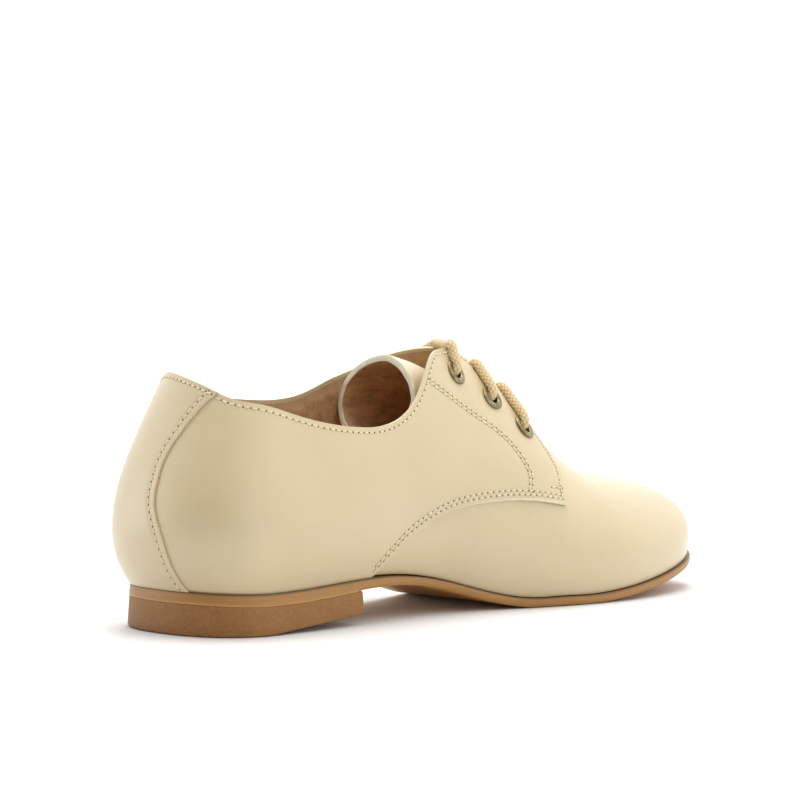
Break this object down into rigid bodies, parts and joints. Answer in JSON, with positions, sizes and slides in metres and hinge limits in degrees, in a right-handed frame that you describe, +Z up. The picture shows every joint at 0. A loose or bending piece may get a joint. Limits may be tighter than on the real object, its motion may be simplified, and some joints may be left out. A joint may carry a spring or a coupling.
{
  "type": "blucher shoe",
  "caption": "Low dress shoe with open lacing: hollow leather upper, arched tongue, leather sole, low stacked heel, metal eyelets and straight lace bars; right shoe.",
  "frame": {"origin": "centre of the bounding box in plan, on the floor that heel and forefoot stand on", "axes": "+X from the heel to the toe, +Y from the outer (lateral) to the inner (medial) side, +Z up"},
  "size_m": [0.2492, 0.0828, 0.0935],
  "materials": {
    "cream_leather": "satin, smooth grain",
    "tan_sole_leather": "satin, waxed edge",
    "stacked_heel": "matte, speckled",
    "insole_leather": "matte",
    "tongue_leather": "satin outside, suede inside",
    "aged_brass": "dull, antique",
    "lace_cord": "matte braid"
  },
  "bodies": {
    "root": {"outsole": "tan_sole_leather", "heel": "stacked_heel", "insole": "insole_leather", "upper": "cream_leather", "back_strip": "cream_leather", "tongue": "tongue_leather", "eyelet_right_1": "aged_brass", "eyelet_left_1": "aged_brass", "eyelet_right_2": "aged_brass", "eyelet_left_2": "aged_brass", "eyelet_right_3": "aged_brass", "eyelet_left_3": "aged_brass", "lace_bar_1": "lace_cord", "lace_bar_2": "lace_cord", "lace_bar_3": "lace_cord"}
  },
  "joints": []
}
